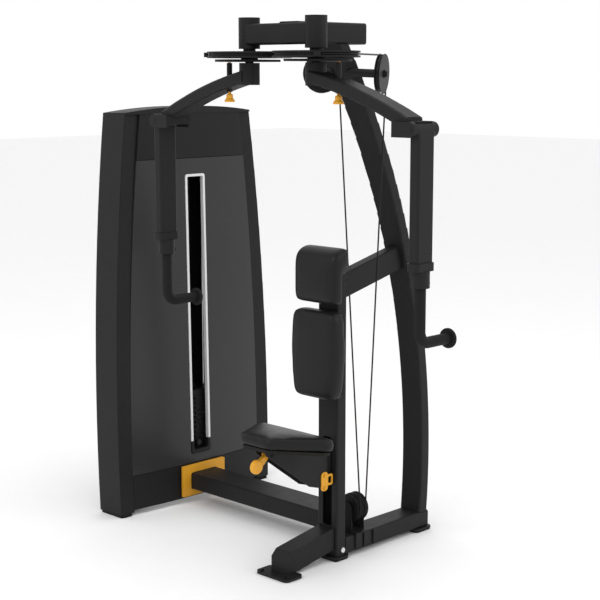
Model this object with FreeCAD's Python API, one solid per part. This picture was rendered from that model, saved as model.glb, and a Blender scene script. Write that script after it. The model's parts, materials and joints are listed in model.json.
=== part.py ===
import FreeCAD, Part
import math
import os

# Pec fly and rear delt machine.  Millimetres, +Z up, +Y towards the curved column, the weight
# tower stands on the -X side.  The origin is on the floor, under the centre of the seat post.
V = FreeCAD.Vector
X_AXIS, Y_AXIS, Z_AXIS = V(1, 0, 0), V(0, 1, 0), V(0, 0, 1)
ORIGIN = V(0, 0, 0)

# ---- frame tube ---------------------------------------------------------------------------
TUBE_HALF_X = 50                    # post, column and cross beam: 100 mm wide along X
POST_HALF_Y = 25                    # post and column: 50 mm deep
TUBE_WALL = 4
TUBE_CORNER = 8
FOOT_HEIGHT = 15                    # steel plate on a rubber pad
RUBBER_HEIGHT = 7
POST_TOP = 1085
SLOT_HALF = 23                      # slot in the front of the post for the seat carriage
SLOT_BOTTOM, SLOT_TOP = 132, 474

CROSS_BEAM_TOP = 80
CROSS_BEAM_END = 512
COLUMN_RADIUS = 2850                # the column is one long arc in the Y-Z plane
COLUMN_CENTRE_Y, COLUMN_CENTRE_Z = -2359, 315
COLUMN_STRETCHES = 4
BOOM_BOTTOM, BOOM_TOP = 1912, 1988
BOOM_REAR = 120
BAR_BOTTOM, BAR_TOP = 1908, 1980
BAR_HALF_Y = 35

# ---- main beam, from the cross beam to the weight tower --------------------------------------
TOWER_Y = 150                       # centre of the tower and of the main beam
BEAM_HALF_Y = 72
BEAM_BOTTOM, BEAM_TOP = 60, 130
BEAM_END_X = -978
COLLAR_FRONT_X = -890
COLLAR_DEPTH = 12
COLLAR_HALF_Y = 118
COLLAR_BOTTOM, COLLAR_TOP = 32, 165

# ---- weight tower ------------------------------------------------------------------------
TOWER_LEAN = 1.0                    # degrees, the shroud leans away from the seat
TOWER_BACK_X, TOWER_FRONT_X = -1070, -930
TOWER_HALF_BASE = 425
TOWER_BOTTOM = 12
TOWER_HALF_TOP = 340
TOWER_BOW_Z = 300                   # height where the sides are widest
TOWER_TOP = 1655
CHANNEL_WIDTH = 68
SHEET = 3
PANEL_BULGE = 24
HEADER_BOTTOM = 1462
LOWER_TOP, LOWER_BOTTOM = 168, 22
SLOT_CENTRE_Y = TOWER_Y
WINDOW_HALF = 43
WINDOW_BOTTOM, WINDOW_TOP = 262, 1386
TRIM_WIDTH = 11
WINDOW_CORNER = 6

# ---- weight stack ----------------------------------------------------------------------------
STACK_X = -990
STACK_HALF_X, STACK_HALF_Y = 45, 125
PLATE_THICK, PLATE_PITCH = 20, 21
STACK_BASE = 194
RESTING_PLATES, LIFTED_PLATES = 2, 10
HEAD_PLATE_THICK = 26
ROD_RADIUS, ROD_OFFSET = 10, 90
BASE_RAIL_BOTTOM, BASE_RAIL_TOP = 130, 174
ROD_TOP = 1560
TOP_RAIL_X0, TOP_RAIL_X1 = -1024, -966
PIN_Z = STACK_BASE + RESTING_PLATES * PLATE_PITCH + PLATE_THICK / 2

# ---- arms ----------------------------------------------------------------------------------
PIVOT_X, PIVOT_Y = 163, -260
HOUSING_RADIUS, HOUSING_BOTTOM, HOUSING_TOP = 38, 1895, 2003
BEARING_OUTER, BEARING_INNER, BEARING_WIDTH = 26, 15, 15
SHAFT_RADIUS = 14.95
CAM_RADIUS, CAM_BOTTOM, CAM_TOP = 150, 1863, 1885
INDEX_BOTTOM, INDEX_TOP, INDEX_RADIUS = 1850, 1858, 122
PIN_RADIUS_AT = 104                 # pull pin circle on the index plate
PIN_RADIUS, PIN_HOLE = 6, 6.6
PIN_DRAWN_TOP = INDEX_BOTTOM - 1    # the pin is drawn clear of its plate
GUIDE_BOTTOM, GUIDE_RADIUS = 1744, 10
KNOB_BOTTOM, KNOB_HEIGHT = 1708, 28
HUB_RADIUS, HUB_BOTTOM, HUB_TOP = 36.5, 1769, 1846
ARM_HALF_Y, ARM_HALF_T = 40, 22
ARM_ARC_RADIUS = 1800
ARM_ARC_X, ARM_ARC_Z = -203, 36     # centre of the arm's long arc in the X-Z plane
KNUCKLE_X, KNUCKLE_Z = 625, 1634
KNUCKLE_RADIUS, KNUCKLE_HALF = 25, 61
DROP_X = 630                        # vertical handle tube
DROP_HALF_X, DROP_HALF_Y = 20, 40
DROP_BOTTOM = 1208
FLANGE_BOTTOM = 1181
SLEEVE_RADIUS, SLEEVE_BOTTOM = 31, 1127
ROD_TUBE_RADIUS = 16
GRIP_RADIUS = 19
GRIP_Z = 942
GRIP_BEND = 42
GRIP_END_Y = -118
DISC_RADIUS, DISC_THICK = 34, 12

# ---- cables and pulleys --------------------------------------------------------------------
CABLE_RADIUS = 3
CABLE_Z = 1874
CAM_CABLE_RADIUS = 146
ARM_PULLEY_R = 66
BASE_PULLEY_R = 50
TOWER_PULLEY_R = 32
BASE_CABLE_Z = 120
BASE_CABLE_Y = {"left": 103, "right": 133}
TOWER_CABLE_Y = {"left": 133, "right": 167}
TOWER_CABLE_X = -1054
TOWER_CABLE_TOP = 1600
ARM_PULLEY_CENTRE_X, ARM_PULLEY_CENTRE_Y = 151, 94

# ---- pads and seat --------------------------------------------------------------------------
BACK_PAD_FRONT, BACK_PAD_REAR = -117, -47
BACK_PAD_WIDE, BACK_PAD_LOW_HALF, BACK_PAD_TOP_HALF = 115, 98, 104
BACK_PAD_BOTTOM, BACK_PAD_TOP = 632, 960
HEAD_PAD_HALF_X, HEAD_PAD_FRONT, HEAD_PAD_REAR = 106, -114, -14
HEAD_PAD_BOTTOM, HEAD_PAD_TOP = 983, 1190
SEAT_REAR_Y, SEAT_FRONT_Y = -180, -412
SEAT_REAR_HALF, SEAT_FRONT_HALF = 190, 74
SEAT_THICK, SEAT_TILT = 50, 7
SEAT_REAR_BOTTOM_Z = 478
SEAT_BOARD_THICK = 12
GUSSET_IN, GUSSET_OUT = 24, 28
NECK_HALF = 18                      # part of the carriage that passes through the slot
CARRIAGE_BOTTOM = 292
LEVER_PIVOT_Y, LEVER_PIVOT_Z = -338, 466
PADDLE_Y, PADDLE_Z, PADDLE_RADIUS = -392, 431, 26


# ---- small modelling helpers ------------------------------------------------------------------
def box(x0, x1, y0, y1, z0, z1):
    return Part.makeBox(x1 - x0, y1 - y0, z1 - z0, V(x0, y0, z0))


def rod(base, axis, radius, length):
    return Part.makeCylinder(radius, length, base, axis)


def ring(base, axis, outer, inner, length):
    return rod(base, axis, outer, length).cut(rod(base, axis, inner, length))


def fillet_along(solid, axis, radius):
    """Round the straight edges that run along one axis."""
    edges = []
    for edge in solid.Edges:
        if not isinstance(edge.Curve, Part.Line):
            continue
        if abs(abs(edge.Curve.Direction.dot(axis)) - 1) < 1e-6:
            edges.append(edge)
    return solid.makeFillet(radius, edges)


def rounded_box(x0, x1, y0, y1, z0, z1, axis, radius):
    return fillet_along(box(x0, x1, y0, y1, z0, z1), axis, radius)


def tube_along(axis, x0, x1, y0, y1, z0, z1, wall=TUBE_WALL, corner=TUBE_CORNER):
    """Rectangular tube, open at both ends, with its length along the axis."""
    outer = rounded_box(x0, x1, y0, y1, z0, z1, axis, corner)
    grow = V(wall, wall, wall) - axis * wall
    inner = rounded_box(x0 + grow.x, x1 - grow.x, y0 + grow.y, y1 - grow.y,
                        z0 + grow.z, z1 - grow.z, axis, corner - wall)
    return outer.cut(inner)


def prism(points, direction):
    """Closed outline given as points, pushed along a direction."""
    loop = Part.makePolygon(points + [points[0]])
    return Part.Face(loop).extrude(direction)


def fuse_all(shapes):
    solid = shapes[0].multiFuse(shapes[1:]) if len(shapes) > 1 else shapes[0]
    return solid.removeSplitter()


def mirrored(shape):
    return shape.mirror(ORIGIN, X_AXIS)


def turned(shape, centre, axis, degrees):
    copy = shape.copy()
    copy.rotate(centre, axis, degrees)
    return copy


def export(name, shape):
    """One STEP file for each node; a list of shapes becomes a group of separate solids."""
    if isinstance(shape, list):
        shape = Part.makeCompound(shape)
    shape.exportStep("parts/" + name + ".step")


def hex_bolt(centre, axis, across, head, washer):
    """Bolt head on a washer, standing on the surface point given."""
    unit = V(axis)
    unit.normalize()
    side = V(0, 0, 1) if abs(unit.z) < 0.9 else V(1, 0, 0)
    first = side.cross(unit)
    first.normalize()
    second = unit.cross(first)
    base = centre + unit * washer
    corners = []
    for step in range(6):
        angle = math.radians(60 * step)
        corners.append(base + (first * math.cos(angle) + second * math.sin(angle)) * (across / 1.732))
    head_solid = prism(corners, unit * head)
    washer_solid = rod(centre, unit, across * 0.72, washer)
    return washer_solid.fuse(head_solid)


# ---- cable routes ---------------------------------------------------------------------------
def unit_between(a, b):
    step = b - a
    step.normalize()
    return step


def corner_arc(before, corner, after, radius):
    """Start, middle, end and centre of the arc that rounds one corner of a route."""
    came = unit_between(before, corner)
    goes = unit_between(corner, after)
    turn = came.getAngle(goes)
    reach = radius * math.tan(turn / 2)
    start = corner - came * reach
    end = corner + goes * reach
    inward = goes - came
    inward.normalize()
    centre = corner + inward * (radius / math.cos(turn / 2))
    middle = centre - inward * radius
    return start, middle, end, centre


def route_wire(points, radii):
    """Straight runs joined by tangent arcs; radii has one value for each inner corner."""
    edges = []
    here = points[0]
    for i, radius in enumerate(radii, start=1):
        start, middle, end, _ = corner_arc(points[i - 1], points[i], points[i + 1], radius)
        edges.append(Part.LineSegment(here, start).toShape())
        edges.append(Part.Arc(start, middle, end).toShape())
        here = end
    edges.append(Part.LineSegment(here, points[-1]).toShape())
    return Part.Wire(edges)


def cable(wire, radius=CABLE_RADIUS):
    start = wire.Edges[0].valueAt(wire.Edges[0].FirstParameter)
    heading = wire.Edges[0].tangentAt(wire.Edges[0].FirstParameter)
    disc = Part.Wire(Part.makeCircle(radius, start, heading))
    return wire.makePipeShell([disc], True, False)


def side_sign(side):
    return -1 if side == "left" else 1


def base_corner_x(over):
    """Where the falling cable, tangent to the base pulley, meets the level of the beam run."""
    rise = over.z - BASE_CABLE_Z - BASE_PULLEY_R
    distance = math.hypot(over.x, rise)
    slope = math.atan2(rise, over.x) - math.acos(BASE_PULLEY_R / distance)
    return BASE_PULLEY_R * (1 + math.sin(slope)) / math.cos(slope)


def arm_cable_points(side):
    """Corners of the route from the cam, over the arm pulley, to the top of the tower."""
    sign = side_sign(side)
    offset_x = PIVOT_X - ARM_PULLEY_CENTRE_X
    offset_y = ARM_PULLEY_CENTRE_Y - PIVOT_Y
    reach = math.hypot(offset_x, offset_y)
    lead = math.asin(CAM_CABLE_RADIUS / reach) + math.atan2(offset_x, offset_y)
    away = V(-sign * math.sin(lead), math.cos(lead), 0)
    touch = V(sign * (PIVOT_X + CAM_CABLE_RADIUS * math.cos(lead)),
              PIVOT_Y + CAM_CABLE_RADIUS * math.sin(lead), CABLE_Z)
    over = V(sign * ARM_PULLEY_CENTRE_X, ARM_PULLEY_CENTRE_Y, CABLE_Z) + away * ARM_PULLEY_R
    under = V(base_corner_x(over), BASE_CABLE_Y[side], BASE_CABLE_Z)
    tower_foot = V(TOWER_CABLE_X, TOWER_CABLE_Y[side], BASE_CABLE_Z)
    tower_back = V(TOWER_CABLE_X, TOWER_CABLE_Y[side], TOWER_CABLE_TOP)
    tower_front = V(STACK_X, TOWER_CABLE_Y[side], TOWER_CABLE_TOP)
    return touch, [touch, over, under, tower_foot, tower_back, tower_front]


def pulley_frame(side, index, radius):
    """Centre and axle direction of the pulley that carries one corner of the route."""
    _, points = arm_cable_points(side)
    points = points + [V(STACK_X, TOWER_CABLE_Y[side], 0)]
    _, _, _, centre = corner_arc(points[index - 1], points[index], points[index + 1], radius)
    axle = unit_between(points[index - 1], points[index]).cross(
        unit_between(points[index], points[index + 1]))
    axle.normalize()
    return centre, axle


def arm_cable(side):
    """One cable: round the cam, over its pulley, through the beam and up the tower."""
    sign = side_sign(side)
    touch, points = arm_cable_points(side)
    pivot = V(sign * PIVOT_X, PIVOT_Y, CABLE_Z)
    spoke = touch - pivot
    wraps = [turned_point(spoke, -sign * angle) + pivot for angle in (65, 32)]
    points = points + [V(STACK_X, TOWER_CABLE_Y[side], TOWER_CABLE_TOP - TOWER_PULLEY_R)]
    radii = [ARM_PULLEY_R, BASE_PULLEY_R, TOWER_PULLEY_R, TOWER_PULLEY_R, TOWER_PULLEY_R - 0.5]
    run = route_wire(points, radii)
    wrap = Part.Arc(wraps[0], wraps[1], touch).toShape()
    return cable(Part.Wire([wrap] + run.Edges))


def turned_point(vector, degrees):
    angle = math.radians(degrees)
    return V(vector.x * math.cos(angle) - vector.y * math.sin(angle),
             vector.x * math.sin(angle) + vector.y * math.cos(angle), vector.z)


def pulley(centre, axle, groove, width, bore):
    """Grooved wheel; groove is the radius of the cable's own centre line."""
    floor = groove - CABLE_RADIUS - 0.4
    rim = groove + 5
    half = width / 2
    lip = 2.0
    profile = [V(bore, 0, -half), V(rim, 0, -half), V(rim, 0, -half + lip), V(floor, 0, -CABLE_RADIUS - 1),
               V(floor, 0, CABLE_RADIUS + 1), V(rim, 0, half - lip), V(rim, 0, half), V(bore, 0, half)]
    loop = Part.makePolygon(profile + [profile[0]])
    wheel = Part.Face(loop).revolve(ORIGIN, Z_AXIS, 360)
    wheel = Part.Solid(wheel) if wheel.ShapeType != "Solid" else wheel
    wheel.Placement = FreeCAD.Placement(centre, FreeCAD.Rotation(Z_AXIS, axle))
    return wheel


# ---- frame ------------------------------------------------------------------------------------
def make_cross_beam():
    beam = tube_along(Y_AXIS, -TUBE_HALF_X, TUBE_HALF_X, POST_HALF_Y, CROSS_BEAM_END,
                      FOOT_HEIGHT, CROSS_BEAM_TOP)
    cap = rounded_box(-TUBE_HALF_X, TUBE_HALF_X, CROSS_BEAM_END - TUBE_WALL, CROSS_BEAM_END,
                      FOOT_HEIGHT, CROSS_BEAM_TOP, Y_AXIS, TUBE_CORNER)
    return beam.fuse(cap).removeSplitter()


def make_front_foot():
    half = 38
    outline = [V(-half, -POST_HALF_Y, 45), V(-half, -POST_HALF_Y, 128), V(-half, -258, 90),
               V(-half, -282, 66), V(-half, -282, 10), V(-half, -215, 10)]
    solid = prism(outline, V(2 * half, 0, 0))
    nose = [edge for edge in solid.Edges if edge.BoundBox.YMax < -200 and edge.BoundBox.XLength > half]
    solid = solid.makeFillet(7, [edge for edge in nose if edge.BoundBox.ZMin > 50])
    return solid


def make_foot_plates():
    def plate(half_x, y0, y1, z0, z1, corner):
        solid = box(-half_x, half_x, y0, y1, z0, z1)
        upright = [edge for edge in solid.Edges if edge.BoundBox.ZLength > 1]
        return solid.makeChamfer(corner, upright)
    front = plate(84, -326, -232, 4, 10, 16)
    middle = plate(60, -40, 40, RUBBER_HEIGHT, FOOT_HEIGHT, 12)
    rear = plate(60, 432, 528, RUBBER_HEIGHT, FOOT_HEIGHT, 12)
    return [front, middle, rear]


def make_rubber_feet():
    feet = [rounded_box(-80, 80, -322, -236, 0, 4, Z_AXIS, 14),
            rounded_box(-56, 56, -36, 36, 0, RUBBER_HEIGHT, Z_AXIS, 10),
            rounded_box(-56, 56, 436, 524, 0, RUBBER_HEIGHT, Z_AXIS, 10)]
    for end in (-1, 1):
        outer = TOWER_Y + end * (TOWER_HALF_BASE - 6)
        inner = TOWER_Y + end * (TOWER_HALF_BASE - CHANNEL_WIDTH + 2)
        feet.append(rounded_box(TOWER_BACK_X - 2, TOWER_FRONT_X + 2, min(outer, inner),
                                max(outer, inner), 0, TOWER_BOTTOM - 2.7, Z_AXIS, 16))
    return feet


def make_seat_post():
    post = tube_along(Z_AXIS, -TUBE_HALF_X, TUBE_HALF_X, -POST_HALF_Y, POST_HALF_Y,
                      FOOT_HEIGHT, POST_TOP)
    slot = rounded_box(-SLOT_HALF, SLOT_HALF, -POST_HALF_Y - 1, -POST_HALF_Y + TUBE_WALL + 1,
                       SLOT_BOTTOM, SLOT_TOP, Y_AXIS, 12)
    cap = rounded_box(-TUBE_HALF_X, TUBE_HALF_X, -POST_HALF_Y, POST_HALF_Y, POST_TOP, POST_TOP + 4,
                      Z_AXIS, TUBE_CORNER)
    drain = rod(V(TUBE_HALF_X - TUBE_WALL - 1, 8, 40), X_AXIS, 5, TUBE_WALL + 2)
    return post.cut(slot).cut(drain).fuse(cap)


def column_band(inset, half_x, bottom, top):
    """Stretch of the bent column about its long arc, shrunk by inset on every side."""
    outer = COLUMN_RADIUS + POST_HALF_Y - inset
    inner = COLUMN_RADIUS - POST_HALF_Y + inset
    middle = (bottom + top) / 2

    def at(radius, z):
        return V(-half_x, COLUMN_CENTRE_Y + math.sqrt(radius ** 2 - (z - COLUMN_CENTRE_Z) ** 2), z)
    rear = Part.Arc(at(outer, bottom), at(outer, middle), at(outer, top)).toShape()
    front = Part.Arc(at(inner, top), at(inner, middle), at(inner, bottom)).toShape()
    upper = Part.LineSegment(at(outer, top), at(inner, top)).toShape()
    lower = Part.LineSegment(at(inner, bottom), at(outer, bottom)).toShape()
    return Part.Face(Part.Wire([rear, upper, front, lower])).extrude(V(2 * half_x, 0, 0))


def make_column():
    """Bent rectangular tube; its long faces are split in equal stretches, for an even mesh."""
    stretch = (BOOM_BOTTOM - CROSS_BEAM_TOP) / COLUMN_STRETCHES
    shells = []
    for step in range(COLUMN_STRETCHES):
        low = CROSS_BEAM_TOP + step * stretch
        shell = column_band(0, TUBE_HALF_X, low, low + stretch)
        long_edges = [edge for edge in shell.Edges
                      if isinstance(edge.Curve, Part.Circle) and edge.Length > stretch / 2]
        shells.append(shell.makeFillet(TUBE_CORNER, long_edges))
    hollow = column_band(TUBE_WALL, TUBE_HALF_X - TUBE_WALL, CROSS_BEAM_TOP - 1, BOOM_BOTTOM + 1)
    return shells[0].multiFuse(shells[1:]).cut(hollow)


def make_brace():
    """Sloping bar from the top of the post back to the column."""
    half = 25
    rise = 0.245
    low, high = 985, 1080
    rear = 420
    outline = [V(-half, POST_HALF_Y, low), V(-half, POST_HALF_Y, high),
               V(-half, rear, high + rise * (rear - POST_HALF_Y)),
               V(-half, rear, low + rise * (rear - POST_HALF_Y))]
    solid = prism(outline, V(2 * half, 0, 0))
    lengthwise = [edge for edge in solid.Edges
                  if edge.BoundBox.YLength > 100 and edge.BoundBox.ZLength > 10]
    solid = solid.makeFillet(TUBE_CORNER, lengthwise)
    behind = rod(V(-half - 1, COLUMN_CENTRE_Y, COLUMN_CENTRE_Z), X_AXIS,
                 COLUMN_RADIUS - POST_HALF_Y, 2 * half + 2)
    return solid.common(behind)


def housing_base(sign):
    return V(sign * PIVOT_X, PIVOT_Y, HOUSING_BOTTOM)


def make_boom():
    front = PIVOT_Y + BAR_HALF_Y
    beam = tube_along(Y_AXIS, -TUBE_HALF_X, TUBE_HALF_X, front, BOOM_REAR, BOOM_BOTTOM, BOOM_TOP,
                      TUBE_WALL, 10)
    cap = rounded_box(-TUBE_HALF_X, TUBE_HALF_X, BOOM_REAR - TUBE_WALL, BOOM_REAR,
                      BOOM_BOTTOM, BOOM_TOP, Y_AXIS, 10)
    return beam.fuse(cap).removeSplitter()


def make_cross_bar():
    bar = tube_along(X_AXIS, -PIVOT_X, PIVOT_X, PIVOT_Y - BAR_HALF_Y, PIVOT_Y + BAR_HALF_Y,
                     BAR_BOTTOM, BAR_TOP)
    for sign in (-1, 1):
        bar = bar.cut(rod(housing_base(sign), Z_AXIS, HOUSING_RADIUS, HOUSING_TOP - HOUSING_BOTTOM))
    return bar


def make_housings():
    housings = []
    length = HOUSING_TOP - HOUSING_BOTTOM
    for sign in (-1, 1):
        shell = ring(housing_base(sign), Z_AXIS, HOUSING_RADIUS, BEARING_OUTER, length)
        lid = rod(V(sign * PIVOT_X, PIVOT_Y, HOUSING_TOP - 4), Z_AXIS, BEARING_OUTER + 1, 4)
        housings.append(shell.fuse(lid).removeSplitter())
    return housings


def make_bearings():
    bearings = []
    for sign in (-1, 1):
        for low in (HOUSING_BOTTOM + 4, HOUSING_TOP - 4 - 6 - BEARING_WIDTH):
            bearings.append(ring(V(sign * PIVOT_X, PIVOT_Y, low), Z_AXIS,
                                 BEARING_OUTER, BEARING_INNER, BEARING_WIDTH))
    return bearings


def make_main_beam():
    beam = tube_along(X_AXIS, BEAM_END_X, -TUBE_HALF_X, TOWER_Y - BEAM_HALF_Y,
                      TOWER_Y + BEAM_HALF_Y, BEAM_BOTTOM, BEAM_TOP)
    return beam


def make_collar():
    """Square flange where the main beam enters the tower."""
    y0, y1 = TOWER_Y - COLLAR_HALF_Y, TOWER_Y + COLLAR_HALF_Y
    plate = rounded_box(COLLAR_FRONT_X - COLLAR_DEPTH, COLLAR_FRONT_X, y0, y1,
                        COLLAR_BOTTOM, COLLAR_TOP, X_AXIS, 5)
    rim = 2
    opening = rounded_box(COLLAR_FRONT_X - COLLAR_DEPTH - 1, COLLAR_FRONT_X + 1,
                          TOWER_Y - BEAM_HALF_Y - rim, TOWER_Y + BEAM_HALF_Y + rim,
                          BEAM_BOTTOM - rim, BEAM_TOP + rim, X_AXIS, TUBE_CORNER + rim)
    return plate.cut(opening)


def make_base_pulley_bracket():
    """Two cheek plates and an axle on the cross beam, with a saddle over its side."""
    centre_z = BASE_CABLE_Z + BASE_PULLEY_R
    left_y, right_y = BASE_CABLE_Y["left"] - 21, BASE_CABLE_Y["right"] + 17
    cheek_width = 4
    half = 26
    solids = []
    for low in (left_y, right_y):
        plate = box(-half, half, low, low + cheek_width, CROSS_BEAM_TOP, centre_z)
        crown = rod(V(0, low, centre_z), Y_AXIS, half, cheek_width)
        solids.append(plate.fuse(crown))
    solids.append(rod(V(0, left_y, centre_z), Y_AXIS, 8, right_y + cheek_width - left_y))
    solids.append(box(-44, TUBE_HALF_X + 6, left_y - 6, 218, CROSS_BEAM_TOP, CROSS_BEAM_TOP + 5))
    for low in (left_y - 6, 122, 176):
        solids.append(box(TUBE_HALF_X, TUBE_HALF_X + 6, low, low + 34, 24, CROSS_BEAM_TOP + 2))
    return fuse_all(solids)


def make_arm_pulley_brackets():
    """Arm and axle for each of the two upper pulleys, welded to the side of the column."""
    brackets = []
    column = column_band(0, TUBE_HALF_X, CROSS_BEAM_TOP, BOOM_BOTTOM)
    for side in ("left", "right"):
        sign = side_sign(side)
        centre, axle = pulley_frame(side, 1, ARM_PULLEY_R)
        outward = axle if axle.x * sign > 0 else axle * -1
        arm = rod(centre - outward * 130, outward, 15, 130 - 14)
        pin = rod(centre - outward * 20, outward, 8, 20 + 13)
        nut = hex_bolt(centre + outward * 11, outward, 20, 8, 3)
        half_space = box(min(0, sign * 400), max(0, sign * 400), -200, 400, 1600, 2000)
        brackets.append(arm.fuse(pin).fuse(nut).common(half_space).cut(column))
    return [largest(bracket) for bracket in brackets]


def largest(shape):
    return sorted(shape.Solids, key=lambda solid: solid.Volume)[-1]


# ---- weight tower shroud ------------------------------------------------------------------------
def tower_half_width(z):
    """Half width of the shroud at a height: widest near the floor, drawn in at the top."""
    radius = ((TOWER_TOP - TOWER_BOW_Z) ** 2 + (TOWER_HALF_BASE - TOWER_HALF_TOP) ** 2) / (
        2 * (TOWER_HALF_BASE - TOWER_HALF_TOP))
    return TOWER_HALF_BASE - radius + math.sqrt(radius ** 2 - (z - TOWER_BOW_Z) ** 2)


def side_outline(inset, low, high):
    """Wire of the shroud's outline in the Y-Z plane, shrunk sideways by inset."""
    def point(end, z):
        return V(0, TOWER_Y + end * (tower_half_width(z) - inset), z)
    middle = (low + high) / 2
    right = Part.Arc(point(1, low), point(1, middle), point(1, high)).toShape()
    left = Part.Arc(point(-1, high), point(-1, middle), point(-1, low)).toShape()
    rise = 22 if high >= TOWER_TOP else 0
    if rise:
        top = Part.Arc(point(1, high), V(0, TOWER_Y, high + rise), point(-1, high)).toShape()
    else:
        top = Part.LineSegment(point(1, high), point(-1, high)).toShape()
    bottom = Part.LineSegment(point(-1, low), point(1, low)).toShape()
    return Part.Wire([right, top, left, bottom])


def outline_slab(inset, low, high, x0, x1):
    face = Part.Face(side_outline(inset, low, high))
    slab = face.extrude(V(x1 - x0, 0, 0))
    slab.translate(V(x0, 0, 0))
    return slab


def leaned(shape):
    return turned(shape, V(TOWER_FRONT_X, 0, 0), Y_AXIS, -TOWER_LEAN)


def make_side_channels():
    """Folded side channels, open towards the inside of the tower."""
    whole = outline_slab(0, TOWER_BOTTOM, TOWER_TOP, TOWER_BACK_X, TOWER_FRONT_X)
    hollow = outline_slab(SHEET, TOWER_BOTTOM - 1, TOWER_TOP, TOWER_BACK_X + SHEET, TOWER_FRONT_X - SHEET)
    middle = outline_slab(CHANNEL_WIDTH, TOWER_BOTTOM - 1, TOWER_TOP, TOWER_BACK_X - 1, TOWER_FRONT_X + 1)
    upper = box(TOWER_BACK_X - 1, TOWER_FRONT_X + 1, -500, 800, TOWER_TOP - 8, TOWER_TOP + 60)
    rest = whole.cut(hollow).cut(middle).cut(upper)
    parts = []
    for solid in rest.Solids:
        front_edge = [edge for edge in solid.Edges
                      if edge.Length > 1200 and edge.BoundBox.XMin > TOWER_FRONT_X - 1
                      and abs(edge.BoundBox.Center.y - TOWER_Y) > TOWER_HALF_TOP]
        outer = sorted(front_edge, key=lambda e: -abs(e.BoundBox.Center.y - TOWER_Y))[:1]
        parts.append(leaned(solid.makeFillet(2.5, outer)))
    return parts


def bulge_circle():
    """Centre, at floor level, and radius of the front panels' curve in plan."""
    half = TOWER_HALF_BASE - CHANNEL_WIDTH
    radius = (half ** 2 + PANEL_BULGE ** 2) / (2 * PANEL_BULGE)
    return V(TOWER_FRONT_X + PANEL_BULGE - radius, TOWER_Y, 0), radius


def bulged_panel(low, high, gap):
    """Front panel between the channels: curved outwards in plan, with its side edges folded back."""
    centre, radius = bulge_circle()
    fold = 6

    def filled(inset, back, shrink, z0, z1):
        slab = outline_slab(CHANNEL_WIDTH + inset, z0, z1, TOWER_FRONT_X - back, TOWER_FRONT_X + 60)
        return slab.common(rod(centre + V(0, 0, z0), Z_AXIS, radius - shrink, z1 - z0))
    hollow = filled(gap + SHEET, fold + 1, SHEET, low - 1, high + 1)
    return filled(gap, fold, 0, low, high).cut(hollow)


def window(grow, reach):
    """Upright opening for the selector pin, with rounded corners."""
    half = WINDOW_HALF + grow
    return rounded_box(TOWER_FRONT_X - 40, TOWER_FRONT_X + 60, SLOT_CENTRE_Y - half,
                       SLOT_CENTRE_Y + half, WINDOW_BOTTOM - reach, WINDOW_TOP + grow, X_AXIS,
                       WINDOW_CORNER + grow / 2)


def make_front_panel():
    return leaned(bulged_panel(LOWER_TOP, HEADER_BOTTOM, 1).cut(window(TRIM_WIDTH, 57)))


def make_header_panel():
    return leaned(bulged_panel(HEADER_BOTTOM + 2, TOWER_TOP - 8, 1))


def make_lower_panel():
    panel = bulged_panel(LOWER_BOTTOM, LOWER_TOP - 2, 1)
    passage = box(-1000, -800, TOWER_Y - BEAM_HALF_Y - 10, TOWER_Y + BEAM_HALF_Y + 10,
                  BEAM_BOTTOM - 10, BEAM_TOP + 10)
    return leaned(panel).cut(passage)


def make_slot_trim():
    """Bright edging round the window, standing slightly proud of the panel."""
    proud = 3
    centre, radius = bulge_circle()
    skin = ring(centre, Z_AXIS, radius + proud, radius - 14, TOWER_TOP)
    frame = skin.common(window(TRIM_WIDTH - 0.5, 30).cut(window(0, 31)))
    keep = box(TOWER_FRONT_X - 20, TOWER_FRONT_X + 60, -500, 800, WINDOW_BOTTOM, TOWER_TOP)
    return leaned(largest(frame.common(keep)))


def make_slot_foot():
    """Black end piece round the bottom of the window, open where the pin starts."""
    centre, radius = bulge_circle()
    skin = ring(centre, Z_AXIS, radius + 4, radius - 14, TOWER_TOP)
    x0, x1 = TOWER_FRONT_X - 30, TOWER_FRONT_X + 60
    half = WINDOW_HALF + TRIM_WIDTH - 1
    block = rounded_box(x0, x1, TOWER_Y - half, TOWER_Y + half, WINDOW_BOTTOM - 56,
                        WINDOW_BOTTOM - 1, X_AXIS, WINDOW_CORNER + TRIM_WIDTH / 2)
    notch = rounded_box(x0, x1, TOWER_Y - 40, TOWER_Y + 40,
                        WINDOW_BOTTOM - 40, WINDOW_BOTTOM + 30, X_AXIS, 12)
    return leaned(largest(skin.common(block.cut(notch))))


def make_rear_panel():
    panel = outline_slab(CHANNEL_WIDTH + 1, 180, TOWER_TOP - 10, TOWER_BACK_X, TOWER_BACK_X + 2)
    return leaned(panel)


def make_top_cap():
    """Lid over the top of the shroud, following its arched outline."""
    front = TOWER_FRONT_X + PANEL_BULGE + 4
    slab = outline_slab(0, 400, TOWER_TOP, TOWER_BACK_X, front)
    keep = box(TOWER_BACK_X, front, -500, 800, TOWER_TOP - 8, TOWER_TOP + 60)
    centre, radius = bulge_circle()
    lid = slab.common(keep).common(rod(centre, Z_AXIS, radius + 2, TOWER_TOP + 100))
    under = lid.copy()
    under.translate(V(0, 0, -6))
    inner = under.common(box(TOWER_BACK_X + 4, TOWER_FRONT_X - 4, -500, 800, 0, 3000))
    return leaned(lid.cut(inner))


# ---- weight stack ------------------------------------------------------------------------------
def stack_plate(low, thick):
    plate = rounded_box(STACK_X - STACK_HALF_X, STACK_X + STACK_HALF_X, TOWER_Y - STACK_HALF_Y,
                        TOWER_Y + STACK_HALF_Y, low, low + thick, Z_AXIS, 5)
    for end in (-1, 1):
        plate = plate.cut(rod(V(STACK_X, TOWER_Y + end * ROD_OFFSET, low - 1), Z_AXIS,
                              ROD_RADIUS + 2, thick + 2))
    return plate


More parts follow.
